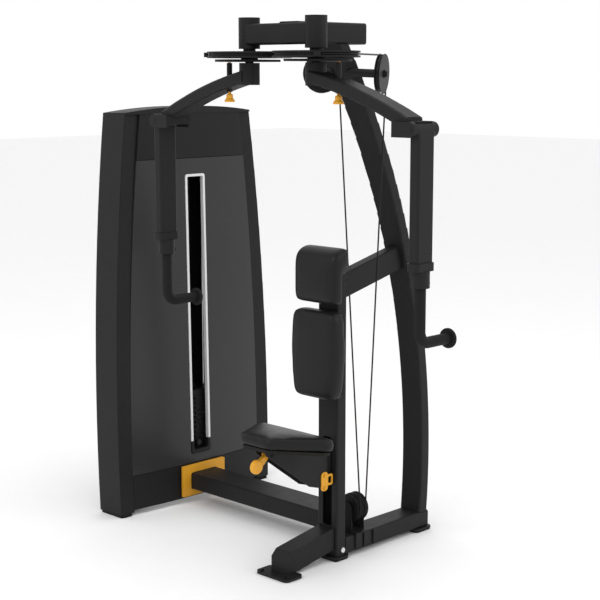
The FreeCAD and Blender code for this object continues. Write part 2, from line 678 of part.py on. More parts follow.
def slotted_plate(low):
    """Weight plate with the stem hole and the cross hole for the selector pin."""
    plate = stack_plate(low, PLATE_THICK)
    plate = plate.cut(rod(V(STACK_X, TOWER_Y, low - 1), Z_AXIS, 14, PLATE_THICK + 2))
    pin_hole = rod(V(STACK_X, TOWER_Y, low + PLATE_THICK / 2), X_AXIS, 5.5, STACK_HALF_X + 1)
    return plate.cut(pin_hole)


def make_resting_plates():
    return [slotted_plate(STACK_BASE + i * PLATE_PITCH) for i in range(RESTING_PLATES)]


def make_lifted_plates():
    first = RESTING_PLATES
    return [slotted_plate(STACK_BASE + i * PLATE_PITCH) for i in range(first, first + LIFTED_PLATES)]


def head_plate_bottom():
    return STACK_BASE + (RESTING_PLATES + LIFTED_PLATES) * PLATE_PITCH


def make_head_plate():
    low = head_plate_bottom()
    plate = stack_plate(low, HEAD_PLATE_THICK)
    lug_half = 30
    lug = rounded_box(STACK_X - 12, STACK_X + 12, TOWER_Y - lug_half, TOWER_Y + lug_half,
                      low + HEAD_PLATE_THICK, low + HEAD_PLATE_THICK + 26, X_AXIS, 8)
    return plate.fuse(lug)


def make_stem():
    """Selector stem under the head plate, drilled for the pin at every weight."""
    low = STACK_BASE + RESTING_PLATES * PLATE_PITCH - 12
    stem = rod(V(STACK_X, TOWER_Y, low), Z_AXIS, 12, head_plate_bottom() - low)
    for i in range(RESTING_PLATES, RESTING_PLATES + LIFTED_PLATES):
        z = STACK_BASE + i * PLATE_PITCH + PLATE_THICK / 2
        stem = stem.cut(rod(V(STACK_X - 13, TOWER_Y, z), X_AXIS, 5.5, 26))
    return stem


def make_selector_pin():
    """Pin through the plate and the stem, with a round pull knob outside."""
    shank = rod(V(STACK_X - 10, TOWER_Y, PIN_Z), X_AXIS, 4.8, STACK_HALF_X + 10 + 4)
    neck = rod(V(STACK_X + STACK_HALF_X + 2, TOWER_Y, PIN_Z), X_AXIS, 7, 10)
    knob = rod(V(STACK_X + STACK_HALF_X + 12, TOWER_Y, PIN_Z), X_AXIS, 13, 14)
    rounded = knob.makeFillet(4, [e for e in knob.Edges if e.Length > 60])
    return fuse_all([shank, neck, rounded])


def make_guide_rods():
    return [rod(V(STACK_X, TOWER_Y + end * ROD_OFFSET, BASE_RAIL_TOP), Z_AXIS, ROD_RADIUS,
                ROD_TOP - BASE_RAIL_TOP) for end in (-1, 1)]


def make_buffers():
    return [ring(V(STACK_X, TOWER_Y + end * ROD_OFFSET, BASE_RAIL_TOP), Z_AXIS, 26, ROD_RADIUS + 0.5,
                 STACK_BASE - BASE_RAIL_TOP) for end in (-1, 1)]


def make_stack_frame():
    """Bottom and top rails between the side channels, with the pulley axles."""
    reach, upper_reach = 420, 342
    rail_x0, rail_x1 = -1034, -946
    lower = box(rail_x0, rail_x1, TOWER_Y - reach, TOWER_Y + reach, BASE_RAIL_BOTTOM, BASE_RAIL_TOP)
    pocket = box(-1070, -976, TOWER_Y - 40, TOWER_Y + 40, BASE_RAIL_BOTTOM - 1, BASE_RAIL_TOP + 1)
    upper = box(TOP_RAIL_X0, TOP_RAIL_X1, TOWER_Y - upper_reach, TOWER_Y + upper_reach,
                ROD_TOP, ROD_TOP + 20)
    upper_pocket = box(-1070, -970, TOWER_Y - 40, TOWER_Y + 40, ROD_TOP - 1, ROD_TOP + 21)
    rails = [lower.cut(pocket), upper.cut(upper_pocket)]
    legs = []
    for end in (-1, 1):
        y = TOWER_Y + end * 300
        legs.append(box(rail_x0, rail_x0 + 40, y - 15, y + 15, 12, BASE_RAIL_BOTTOM))
        y_top = TOWER_Y + end * 250
        legs.append(box(TOP_RAIL_X0, TOP_RAIL_X0 + 40, y_top - 12, y_top + 12, BASE_RAIL_TOP, ROD_TOP))
    axles = []
    for index in (3, 4):
        centre, _ = pulley_frame("left", index, TOWER_PULLEY_R)
        for end in (-1, 1):
            low = min(end * 38, end * 44)
            cheek_low, cheek_high = ((centre.z - 12, BASE_RAIL_TOP) if index == 3
                                     else (ROD_TOP + 2, centre.z + 12))
            axles.append(box(centre.x - 12, TOP_RAIL_X1, TOWER_Y + low, TOWER_Y + low + 6,
                             cheek_low, cheek_high))
        axles.append(rod(V(centre.x, TOWER_Y - 44, centre.z), Y_AXIS, 7, 88))
    return fuse_all(rails + legs + axles)


def make_lift_cables():
    """Last straight runs, from the top pulleys down to the head plate."""
    low = head_plate_bottom() + HEAD_PLATE_THICK + 26
    high = TOWER_CABLE_TOP - TOWER_PULLEY_R
    return [rod(V(STACK_X, TOWER_CABLE_Y[side], low), Z_AXIS, CABLE_RADIUS, high - low)
            for side in ("left", "right")]


def make_tower_pulleys(index):
    wheels = []
    for side in ("left", "right"):
        centre, _ = pulley_frame(side, index, TOWER_PULLEY_R)
        wheels.append(pulley(centre, Y_AXIS, TOWER_PULLEY_R, 22, 7.05))
    return wheels


def make_base_pulleys():
    centre_z = BASE_CABLE_Z + BASE_PULLEY_R
    return [pulley(V(0, BASE_CABLE_Y[side], centre_z), Y_AXIS, BASE_PULLEY_R, 26, 8.05)
            for side in ("left", "right")]


def make_arm_pulley(side):
    centre, axle = pulley_frame(side, 1, ARM_PULLEY_R)
    return pulley(centre, axle, ARM_PULLEY_R, 20, 8.05)


# ---- arms (right side; the left side is mirrored) ----------------------------------------------
def make_cam():
    """Grooved cam disc on its shaft; the shaft turns in the housing's bearings."""
    pivot = V(PIVOT_X, PIVOT_Y, 0)
    floor = CAM_CABLE_RADIUS - CABLE_RADIUS - 0.4
    groove = 5
    profile = [V(0, 0, CAM_BOTTOM), V(CAM_RADIUS, 0, CAM_BOTTOM), V(CAM_RADIUS, 0, CABLE_Z - groove),
               V(floor, 0, CABLE_Z - groove + 1), V(floor, 0, CABLE_Z + groove - 1),
               V(CAM_RADIUS, 0, CABLE_Z + groove), V(CAM_RADIUS, 0, CAM_TOP), V(0, 0, CAM_TOP)]
    disc = Part.Face(Part.makePolygon(profile + [profile[0]])).revolve(ORIGIN, Z_AXIS, 360)
    disc.translate(pivot)
    shaft = rod(pivot + V(0, 0, CAM_TOP), Z_AXIS, SHAFT_RADIUS, HOUSING_TOP - 6 - CAM_TOP)
    collar = rod(pivot + V(0, 0, CAM_TOP), Z_AXIS, 22, HOUSING_BOTTOM - CAM_TOP + 2)
    lower = rod(pivot + V(0, 0, INDEX_TOP), Z_AXIS, 30, CAM_BOTTOM - INDEX_TOP)
    anchor = box(-12, 12, -160, -CAM_RADIUS + 4, CABLE_Z - groove - 3, CABLE_Z + groove + 3)
    anchor.rotate(ORIGIN, Z_AXIS, 45)
    anchor.translate(pivot)
    return fuse_all([disc, shaft, collar, lower, anchor])


def make_index_plate():
    """Start-position plate under the cam, with a ring of holes for the pull pin."""
    pivot = V(PIVOT_X, PIVOT_Y, 0)
    plate = rod(pivot + V(0, 0, INDEX_BOTTOM), Z_AXIS, INDEX_RADIUS, INDEX_TOP - INDEX_BOTTOM)
    plate = plate.cut(box(PIVOT_X - 200, PIVOT_X - 40, PIVOT_Y - 200, PIVOT_Y + 200, 1800, 1900))
    stub = rod(pivot + V(0, 0, HUB_BOTTOM + 6), Z_AXIS, SHAFT_RADIUS, INDEX_BOTTOM - HUB_BOTTOM - 6)
    for step in range(5):
        angle = math.radians(step * 15)
        hole = V(PIVOT_X + PIN_RADIUS_AT * math.cos(angle), PIVOT_Y + PIN_RADIUS_AT * math.sin(angle),
                 INDEX_BOTTOM - 1)
        plate = plate.cut(rod(hole, Z_AXIS, PIN_HOLE, INDEX_TOP - INDEX_BOTTOM + 2))
    return plate.fuse(stub)


def arm_band(inset, half_y, x0, x1):
    """Stretch of the arm's long arc about Y, shrunk by inset."""
    base = V(ARM_ARC_X, PIVOT_Y - half_y, ARM_ARC_Z)
    band = ring(base, Y_AXIS, ARM_ARC_RADIUS + ARM_HALF_T - inset,
                ARM_ARC_RADIUS - ARM_HALF_T + inset, 2 * half_y)
    return band.common(box(x0, x1, PIVOT_Y - half_y, PIVOT_Y + half_y, 1400, 1900))


def make_swing_arm():
    """Hub, curved flat tube and the fork at its end, welded into one arm."""
    pivot = V(PIVOT_X, PIVOT_Y, 0)
    reach = KNUCKLE_X - KNUCKLE_RADIUS - 3
    tube = arm_band(0, ARM_HALF_Y, PIVOT_X, reach)
    long_edges = [e for e in tube.Edges if isinstance(e.Curve, Part.Circle) and e.Length > 200]
    tube = tube.makeFillet(9, long_edges)
    tube = tube.cut(arm_band(TUBE_WALL, ARM_HALF_Y - TUBE_WALL, PIVOT_X + HUB_RADIUS + 6, reach - 6))
    hub = rod(pivot + V(0, 0, HUB_BOTTOM), Z_AXIS, HUB_RADIUS, HUB_TOP - HUB_BOTTOM)
    bore = rod(pivot + V(0, 0, HUB_BOTTOM + 5), Z_AXIS, BEARING_INNER, HUB_TOP - HUB_BOTTOM)
    solid = tube.fuse(hub)
    for end in (-1, 1):
        low = PIVOT_Y + min(end * (KNUCKLE_HALF - 13), end * (KNUCKLE_HALF - 1))
        cheek = box(reach - 46, KNUCKLE_X, low, low + 12, KNUCKLE_Z - KNUCKLE_RADIUS, KNUCKLE_Z + 24)
        crown = rod(V(KNUCKLE_X, low, KNUCKLE_Z), Y_AXIS, KNUCKLE_RADIUS, 12)
        solid = solid.fuse(cheek.fuse(crown))
    bridge = box(reach - 46, reach - 30, PIVOT_Y - KNUCKLE_HALF + 1, PIVOT_Y + KNUCKLE_HALF - 1,
                 KNUCKLE_Z - 14, KNUCKLE_Z + 24)
    bolt = rod(V(KNUCKLE_X, PIVOT_Y - KNUCKLE_HALF, KNUCKLE_Z), Y_AXIS, 10, 2 * KNUCKLE_HALF)
    pin_at = V(PIVOT_X + PIN_RADIUS_AT, PIVOT_Y, GUIDE_BOTTOM)
    guide = rod(pin_at, Z_AXIS, GUIDE_RADIUS, HUB_TOP - GUIDE_BOTTOM)
    pin_bore = rod(pin_at - V(0, 0, 1), Z_AXIS, PIN_RADIUS + 0.05, HUB_TOP - GUIDE_BOTTOM + 2)
    return solid.fuse(bridge).cut(bore).fuse(guide).cut(pin_bore).fuse(bolt).removeSplitter()


def make_pull_pin():
    """Pull pin, drawn clear of the index plate, with a bell-shaped knob below."""
    at = V(PIVOT_X + PIN_RADIUS_AT, PIVOT_Y, 0)
    top = KNOB_BOTTOM + KNOB_HEIGHT
    shank = rod(at + V(0, 0, KNOB_BOTTOM + 20), Z_AXIS, PIN_RADIUS, PIN_DRAWN_TOP - KNOB_BOTTOM - 20)
    profile = [V(0, 0, KNOB_BOTTOM), V(17, 0, KNOB_BOTTOM), V(19, 0, KNOB_BOTTOM + 4),
               V(17, 0, KNOB_BOTTOM + 8), V(12, 0, KNOB_BOTTOM + 14), V(12, 0, top - 3),
               V(10, 0, top), V(0, 0, top)]
    knob = Part.Face(Part.makePolygon(profile + [profile[0]])).revolve(ORIGIN, Z_AXIS, 360)
    knob.translate(at)
    return shank.fuse(knob)


def make_drop_tube():
    """Hanging handle tube with its knuckle barrel, end flange and sleeve."""
    tube = tube_along(Z_AXIS, DROP_X - DROP_HALF_X, DROP_X + DROP_HALF_X, PIVOT_Y - DROP_HALF_Y,
                      PIVOT_Y + DROP_HALF_Y, DROP_BOTTOM, KNUCKLE_Z, 3, 9)
    half = KNUCKLE_HALF - 14
    barrel = rod(V(KNUCKLE_X, PIVOT_Y - half, KNUCKLE_Z), Y_AXIS, KNUCKLE_RADIUS, 2 * half)
    bore = rod(V(KNUCKLE_X, PIVOT_Y - half - 1, KNUCKLE_Z), Y_AXIS, 10.05, 2 * half + 2)
    flange = rounded_box(DROP_X - 25, DROP_X + 25, PIVOT_Y - 46, PIVOT_Y + 46, FLANGE_BOTTOM,
                         DROP_BOTTOM, Z_AXIS, 14)
    sleeve = rod(V(DROP_X, PIVOT_Y, SLEEVE_BOTTOM), Z_AXIS, SLEEVE_RADIUS,
                 FLANGE_BOTTOM - SLEEVE_BOTTOM)
    socket = rod(V(DROP_X, PIVOT_Y, SLEEVE_BOTTOM - 1), Z_AXIS, ROD_TUBE_RADIUS + 0.05,
                 FLANGE_BOTTOM + 8 - SLEEVE_BOTTOM)
    screw = rod(V(DROP_X, PIVOT_Y + SLEEVE_RADIUS - 3, SLEEVE_BOTTOM + 12), Y_AXIS, 9, 11)
    solid = fuse_all([tube, barrel, flange, sleeve, screw])
    return solid.cut(bore).cut(socket)


def make_handle_rod():
    """Bent rod: up into the sleeve, down, then level towards the rear."""
    top = V(DROP_X, PIVOT_Y, FLANGE_BOTTOM - 2)
    corner = V(DROP_X, PIVOT_Y, GRIP_Z)
    end = V(DROP_X, GRIP_END_Y, GRIP_Z)
    return cable(route_wire([top, corner, end], [GRIP_BEND]), ROD_TUBE_RADIUS)


def make_hand_grip():
    """Rubber sleeve over the visible rod, closed by a round end disc."""
    top = V(DROP_X, PIVOT_Y, SLEEVE_BOTTOM - 2)
    corner = V(DROP_X, PIVOT_Y, GRIP_Z)
    end = V(DROP_X, GRIP_END_Y, GRIP_Z)
    outer = cable(route_wire([top, corner, end], [GRIP_BEND]), GRIP_RADIUS)
    inner = cable(route_wire([top, corner, end], [GRIP_BEND]), ROD_TUBE_RADIUS)
    disc = rod(end, Y_AXIS, DISC_RADIUS, DISC_THICK)
    disc = disc.makeFillet(4, [e for e in disc.Edges if e.Length > 200])
    return outer.cut(inner).fuse(disc)


# ---- pads ----------------------------------------------------------------------------------
def make_back_pad():
    """Upright pad: barrel-shaped outline, rounded corners and a softened front edge."""
    middle = (BACK_PAD_BOTTOM + BACK_PAD_TOP) / 2

    def at(x, z):
        return V(x, BACK_PAD_REAR, z)
    right = Part.Arc(at(BACK_PAD_LOW_HALF, BACK_PAD_BOTTOM), at(BACK_PAD_WIDE, middle),
                     at(BACK_PAD_TOP_HALF, BACK_PAD_TOP)).toShape()
    left = Part.Arc(at(-BACK_PAD_TOP_HALF, BACK_PAD_TOP), at(-BACK_PAD_WIDE, middle),
                    at(-BACK_PAD_LOW_HALF, BACK_PAD_BOTTOM)).toShape()
    top = Part.LineSegment(at(BACK_PAD_TOP_HALF, BACK_PAD_TOP),
                           at(-BACK_PAD_TOP_HALF, BACK_PAD_TOP)).toShape()
    bottom = Part.LineSegment(at(-BACK_PAD_LOW_HALF, BACK_PAD_BOTTOM),
                              at(BACK_PAD_LOW_HALF, BACK_PAD_BOTTOM)).toShape()
    outline = Part.Face(Part.Wire([right, top, left, bottom]))
    pad = outline.extrude(V(0, BACK_PAD_FRONT - BACK_PAD_REAR, 0))
    corners = [e for e in pad.Edges if e.BoundBox.YLength > 50]
    pad = pad.makeFillet(26, corners)
    front = [e for e in pad.Edges if e.BoundBox.YMax < BACK_PAD_FRONT + 1]
    return pad.makeFillet(22, front)


def make_head_pad():
    """Rolled pad: bulging front, round top, and a step at the rear over the post."""
    half = HEAD_PAD_HALF_X
    roll = 78
    rear = -48
    outline = [V(-half, HEAD_PAD_FRONT, HEAD_PAD_BOTTOM), V(-half, HEAD_PAD_FRONT, HEAD_PAD_TOP),
               V(-half, HEAD_PAD_REAR, HEAD_PAD_TOP), V(-half, HEAD_PAD_REAR, 1122), V(-half, rear, 1098),
               V(-half, rear, HEAD_PAD_BOTTOM)]
    pad = prism(outline, V(2 * half, 0, 0))

    def across(test):
        return [e for e in pad.Edges if e.BoundBox.XLength > half and test(e.BoundBox)]
    pad = pad.makeFillet(roll, across(lambda b: b.YMax < HEAD_PAD_FRONT + 1 and b.ZMin > 1150))
    pad = pad.makeFillet(36, across(lambda b: b.ZMax < 1000 and b.YMax < HEAD_PAD_FRONT + 1))
    pad = pad.makeFillet(12, across(lambda b: b.ZMin > 1180 and b.YMin > -20))
    plan = box(-half, half, HEAD_PAD_FRONT, HEAD_PAD_REAR, HEAD_PAD_BOTTOM, HEAD_PAD_TOP)
    front = [e for e in plan.Edges if e.BoundBox.ZLength > roll and e.BoundBox.YMax < HEAD_PAD_FRONT + 1]
    return pad.common(plan.makeFillet(34, front))


def make_pad_boards():
    """Plywood backs of the two upper pads, with their steel mounting straps."""
    back = box(-92, 92, BACK_PAD_REAR, -35, BACK_PAD_BOTTOM + 18, BACK_PAD_TOP - 18)
    back_strap = box(-30, 30, -35, -POST_HALF_Y, 680, 912)
    head = box(-84, 84, -48, -35, 1000, 1082)
    head_strap = box(-30, 30, -35, -POST_HALF_Y, 1006, 1076)
    return [back, back_strap, head, head_strap]


def seat_local(shape):
    """Put a shape, drawn flat with its rear edge at y = 0, into the tilted seat plane."""
    copy = turned(shape, ORIGIN, X_AXIS, -SEAT_TILT)
    copy.translate(V(0, SEAT_REAR_Y, SEAT_REAR_BOTTOM_Z))
    return copy


def seat_outline(inset, z):
    length = (SEAT_REAR_Y - SEAT_FRONT_Y) / math.cos(math.radians(SEAT_TILT))
    rear, front = SEAT_REAR_HALF - inset, SEAT_FRONT_HALF - inset
    return [V(-rear, -inset, z), V(rear, -inset, z), V(rear, -inset - 40, z),
            V(front, -length + inset, z), V(-front, -length + inset, z), V(-rear, -inset - 40, z)]


def make_seat_pad():
    pad = prism(seat_outline(0, 0), V(0, 0, SEAT_THICK))
    upright = [e for e in pad.Edges if e.BoundBox.ZLength > 40]
    pad = pad.makeFillet(22, upright)
    top = [e for e in pad.Edges if e.BoundBox.ZMin > SEAT_THICK - 1]
    return seat_local(pad.makeFillet(14, top))


def make_seat_board():
    board = prism(seat_outline(12, -SEAT_BOARD_THICK), V(0, 0, SEAT_BOARD_THICK - 0.5))
    upright = [e for e in board.Edges if e.BoundBox.ZLength > 10]
    return seat_local(board.makeFillet(16, upright))


def board_bottom(y):
    slope = math.tan(math.radians(SEAT_TILT))
    drop = SEAT_BOARD_THICK / math.cos(math.radians(SEAT_TILT))
    return SEAT_REAR_BOTTOM_Z - drop - slope * (y - SEAT_REAR_Y)


def make_seat_carriage():
    """Two side plates under the seat, joined by webs, on a slider inside the post."""
    slider_top = 430
    outer_rear = -58
    solids = []
    for low in (-GUSSET_OUT, GUSSET_IN):
        outline = [V(low, -376, board_bottom(-376)), V(low, -368, 470), V(low, -150, 312),
                   V(low, -84, CARRIAGE_BOTTOM), V(low, outer_rear, CARRIAGE_BOTTOM),
                   V(low, outer_rear, board_bottom(outer_rear))]
        solids.append(prism(outline, V(GUSSET_OUT - GUSSET_IN, 0, 0)))
    solids.append(box(-44, 44, -19, 19, CARRIAGE_BOTTOM, slider_top))
    solids.append(box(-NECK_HALF, NECK_HALF, outer_rear - 4, -18, CARRIAGE_BOTTOM + 4,
                      slider_top - 4))
    solids.append(box(-GUSSET_IN, GUSSET_IN, outer_rear - 16, outer_rear, CARRIAGE_BOTTOM + 4,
                      slider_top - 4))
    top = [V(-60, -360, board_bottom(-360)), V(-60, -200, board_bottom(-200)),
           V(-60, -200, board_bottom(-200) - 5), V(-60, -360, board_bottom(-360) - 5)]
    solids.append(prism(top, V(120, 0, 0)))
    solids.append(rod(V(-GUSSET_OUT - 4, LEVER_PIVOT_Y, LEVER_PIVOT_Z), X_AXIS, 5,
                      2 * GUSSET_OUT + 8))
    return fuse_all(solids)


def make_seat_lever():
    """Round paddle on a short neck; it turns on the pin between the carriage plates."""
    half = 7
    hub = rod(V(-20, LEVER_PIVOT_Y, LEVER_PIVOT_Z), X_AXIS, 9, 40)
    bore = rod(V(-21, LEVER_PIVOT_Y, LEVER_PIVOT_Z), X_AXIS, 5.05, 42)
    neck = prism([V(-half, LEVER_PIVOT_Y - 5, LEVER_PIVOT_Z + 7), V(-half, PADDLE_Y + 4, PADDLE_Z + 16),
                  V(-half, PADDLE_Y + 10, PADDLE_Z - 14), V(-half, LEVER_PIVOT_Y + 5, LEVER_PIVOT_Z - 7)],
                 V(2 * half, 0, 0))
    paddle = rod(V(-half - 3, PADDLE_Y, PADDLE_Z), X_AXIS, PADDLE_RADIUS, 2 * half + 6)
    paddle = paddle.makeFillet(7, [e for e in paddle.Edges if e.Length > 100])
    return fuse_all([neck, hub, paddle]).cut(bore)


def make_seat_latch():
    """Orange bracket on the side of the carriage: rounded plate and an open D loop."""
    x0, x1 = GUSSET_OUT, GUSSET_OUT + 4
    y0, y1 = -90, -56
    plate = rounded_box(x0, x1, y0, y1, 280, 352, X_AXIS, 14)
    loop = rounded_box(x0, x1, y1 - 6, -29, 298, 340, X_AXIS, 8)
    hole = rounded_box(x0 - 1, x1 + 1, y1 + 2, -36, 306, 332, X_AXIS, 5)
    solid = plate.fuse(loop.cut(hole))
    bolts = [hex_bolt(V(x1, (y0 + y1) / 2, z), X_AXIS, 11, 4, 1) for z in (292, 338)]
    return fuse_all([solid] + bolts)


def make_bolts():
    """Visible fasteners of the frame and of the pads."""
    bolts = []
    for z in (1020, 1060):
        for sign in (-1, 1):
            bolts.append(hex_bolt(V(sign * 38, POST_HALF_Y, z), Y_AXIS, 13, 6, 2))
    for x in (-60, 60):
        bolts.append(hex_bolt(V(x, -308, 10), Z_AXIS, 11, 5, 2))
    for z in (690, 900):
        bolts.append(hex_bolt(V(0, POST_HALF_Y, z), Y_AXIS, 13, 6, 2))
    return bolts


def main():
    os.makedirs("parts", exist_ok=True)
    export("cross_beam", make_cross_beam())
    export("front_foot_beam", make_front_foot())
    export("foot_plates", make_foot_plates())
    export("rubber_feet", make_rubber_feet())
    export("seat_post", make_seat_post())
    export("curved_column", make_column())
    export("brace_bar", make_brace())
    export("boom_frame", [make_boom(), make_cross_bar()])
    export("bearing_housings", make_housings())
    export("pivot_bearings", make_bearings())
    export("main_beam", make_main_beam())
    export("beam_collar", make_collar())
    export("base_pulley_bracket", make_base_pulley_bracket())
    export("arm_pulley_brackets", make_arm_pulley_brackets())
    export("tower_side_channels", make_side_channels())
    export("tower_front_panel", make_front_panel())
    export("tower_header_panel", make_header_panel())
    export("tower_lower_panel", make_lower_panel())
    export("tower_rear_panel", make_rear_panel())
    export("tower_top_cap", make_top_cap())
    export("slot_trim", make_slot_trim())
    export("slot_end_piece", make_slot_foot())
    export("stack_frame", make_stack_frame())
    export("guide_rods", make_guide_rods())
    export("stack_buffers", make_buffers())
    export("resting_weight_plates", make_resting_plates())
    export("lifted_weight_plates", make_lifted_plates())
    export("head_plate", make_head_plate())
    export("selector_stem", make_stem())
    export("selector_pin", make_selector_pin())
    export("lift_cables", make_lift_cables())
    export("arm_cables", [arm_cable("left"), arm_cable("right")])
    export("base_pulleys", make_base_pulleys())
    export("tower_bottom_pulleys", make_tower_pulleys(3))
    export("tower_top_pulleys", make_tower_pulleys(4))
    for side in ("left", "right"):
        export("arm_pulley_" + side, make_arm_pulley(side))
    pairs = {"cam": make_cam(), "index_plate": make_index_plate(), "swing_arm": make_swing_arm(),
             "pull_pin": make_pull_pin(), "drop_tube": make_drop_tube(),
             "handle_rod": make_handle_rod(), "hand_grip": make_hand_grip()}
    for name, shape in pairs.items():
        export(name + "_right", shape)
        export(name + "_left", mirrored(shape))
    export("back_pad", make_back_pad())
    export("head_pad", make_head_pad())
    export("pad_boards", make_pad_boards())
    export("seat_pad", make_seat_pad())
    export("seat_board", make_seat_board())
    export("seat_carriage", make_seat_carriage())
    export("seat_lever", make_seat_lever())
    export("seat_latch", make_seat_latch())
    export("frame_bolts", make_bolts())


main()
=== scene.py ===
import json
import math

import bmesh
import bpy
from mathutils import Matrix, Vector


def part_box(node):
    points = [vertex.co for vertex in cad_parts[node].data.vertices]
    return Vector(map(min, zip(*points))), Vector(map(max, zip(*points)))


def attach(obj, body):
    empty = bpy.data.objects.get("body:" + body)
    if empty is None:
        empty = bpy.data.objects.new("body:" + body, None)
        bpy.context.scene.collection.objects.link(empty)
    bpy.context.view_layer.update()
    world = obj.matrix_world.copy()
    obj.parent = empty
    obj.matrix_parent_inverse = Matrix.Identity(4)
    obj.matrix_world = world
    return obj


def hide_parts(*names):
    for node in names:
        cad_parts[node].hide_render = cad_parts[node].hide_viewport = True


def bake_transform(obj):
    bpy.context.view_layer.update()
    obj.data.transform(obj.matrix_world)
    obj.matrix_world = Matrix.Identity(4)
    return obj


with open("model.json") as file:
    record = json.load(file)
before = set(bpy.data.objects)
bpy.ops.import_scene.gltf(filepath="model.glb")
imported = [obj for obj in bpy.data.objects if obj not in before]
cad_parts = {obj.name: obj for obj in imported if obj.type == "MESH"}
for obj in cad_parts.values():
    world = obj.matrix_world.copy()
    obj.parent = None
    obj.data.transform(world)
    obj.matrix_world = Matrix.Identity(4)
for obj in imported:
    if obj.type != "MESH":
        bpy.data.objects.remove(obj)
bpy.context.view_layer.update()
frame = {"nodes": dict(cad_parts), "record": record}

# Looks of the pec fly and rear delt machine.  Metres, same frame as the CAD.
NODES = frame["nodes"]
SCENE = bpy.context.scene

# ---- camera ----------------------------------------------------------------------------------
CAMERA_AT = (3.4873, -3.728, 1.81)
CAMERA_TURN, CAMERA_DIP = 44.4345, 9.171      # degrees
CAMERA_LENS, CAMERA_SENSOR = 84.26, 36.0      # millimetres
CAMERA_REACH = 100

# ---- foam and vinyl ----------------------------------------------------------------------------
VOXEL = 0.006
THIN = 0.004                # foam starts this much thinner on its face, and then swells
THIN_DEPTH = 0.03           # the thinning fades out over this depth
SWELL_CAP = 0.007
PRESSURE = 3.0
CLOTH_QUALITY, CLOTH_MASS = 6, 0.3
STRETCH_STIFFNESS, BENDING_STIFFNESS = 80, 20
BACK_HOLD, HEAD_HOLD, SEAT_HOLD = 0.012, 0.060, 0.012   # depth of foam held against the board
ROUNDING = {"back_pad": 24, "head_pad": 44, "seat_pad": 24}    # smoothing passes before swelling
TIGHTENING = 30             # smoothing passes after it, which pull the vinyl tight
SMOOTH_FACTOR = 0.5
FRAMES = 20
SEAT_TILT, SEAT_REAR_Y = 7.0, -0.180          # degrees; where the tilted seat begins

# ---- small pieces -----------------------------------------------------------------------------
PLUG_Y, PLUG_Z = 0.009, 0.036         # the white plug low on the side of the post
PLUG_RADIUS, PLUG_THICK, PLUG_PROUD = 0.010, 0.003, 0.0012
PLUG_TAPER = 0.94                     # radius of the plug's outer face, as a share of the inner
DISC_SEGMENTS = 48
ELBOW_X = 0.617                       # middle of the dark block over each elbow fork, which paints the shade in the fork's recess
ELBOW_HALF_X = 0.024
ELBOW_FRONT, ELBOW_REAR = -0.299, -0.221
ELBOW_SINK, ELBOW_RISE = 0.0035, 0.0015   # below and above the top of the handle tube
ELBOW_SOFTEN, SOFTEN_SEGMENTS = 0.001, 2
CABLE_STEPS, CABLE_SIDES = 40, 12

# ---- colours, linear ---------------------------------------------------------------------------
BLACK_COAT = (0.0140, 0.0140, 0.0145)
ARM_COAT = (0.0135, 0.0135, 0.0140)
PANEL_GREY = (0.026, 0.026, 0.0275)
PANEL_DARK = (0.0125, 0.0125, 0.0130)
AMBER = (0.70, 0.33, 0.022)
LIGHT_TRIM = (0.72, 0.72, 0.72)
VINYL = (0.0115, 0.0115, 0.0120)
STAINED_WOOD = (0.012, 0.011, 0.010)
RUBBER = (0.010, 0.010, 0.010)
NYLON = (0.011, 0.011, 0.0115)
STEEL = (0.30, 0.30, 0.31)
CHROME = (0.45, 0.45, 0.46)
CAST = (0.011, 0.011, 0.0115)
CABLE = (0.010, 0.010, 0.010)
BOLT = (0.020, 0.020, 0.021)
PLUG = (0.70, 0.70, 0.68)
FLOOR = (0.92, 0.92, 0.92)

# ---- texture -----------------------------------------------------------------------------------
GLOSS_FINENESS, GLOSS_DETAIL = 3.7, 5.0       # gloss patches, as finer copies of the colour patches
GRAIN_DETAIL = 2.0
BUMP_STRENGTH = 0.55
BEVEL_SAMPLES = 4
MIX_COLOUR_A, MIX_COLOUR_B, MIX_COLOUR_OUT = 6, 7, 2    # the Mix node's colour sockets

# ---- studio ------------------------------------------------------------------------------------
FLOOR_SIZE, FLOOR_DROP = 60, 0.0005
LAMPS = {                             # place, aim, diameter, watts
    "key": ((0.5, -4.5, 5.0), (-0.3, 0, 1.0), 3.0, 60),
    "side": ((4.5, 2.0, 3.0), (0, 0, 1.2), 2.5, 30),
    "top": ((-0.5, 0.5, 5.5), (-0.3, 0, 0.5), 3.0, 40),
}


def make_camera():
    """Camera where the photo was taken from."""
    data = bpy.data.cameras.new("photo_camera")
    data.lens = CAMERA_LENS
    data.sensor_width = CAMERA_SENSOR
    data.clip_end = CAMERA_REACH
    camera = bpy.data.objects.new("photo_camera", data)
    camera.location = CAMERA_AT
    camera.rotation_euler = (math.radians(90 - CAMERA_DIP), 0, math.radians(CAMERA_TURN))
    SCENE.collection.objects.link(camera)
    SCENE.camera = camera


# ---- materials ---------------------------------------------------------------------------------
def new_node(tree, kind, **values):
    """Shader node with its sockets set."""
    node = tree.nodes.new(kind)
    for key, value in values.items():
        node.inputs[key].default_value = value
    return node


def noise(tree, coords, scale, detail=3.0, stretch=None):
    """Noise in object space, stretched for a brushed or sawn grain."""
    texture = new_node(tree, "ShaderNodeTexNoise", Scale=scale, Detail=detail)
    source = coords.outputs["Object"]
    if stretch:
        mapping = tree.nodes.new("ShaderNodeMapping")
        mapping.inputs["Scale"].default_value = stretch
        tree.links.new(source, mapping.inputs["Vector"])
        source = mapping.outputs["Vector"]
    tree.links.new(source, texture.inputs["Vector"])
    return texture


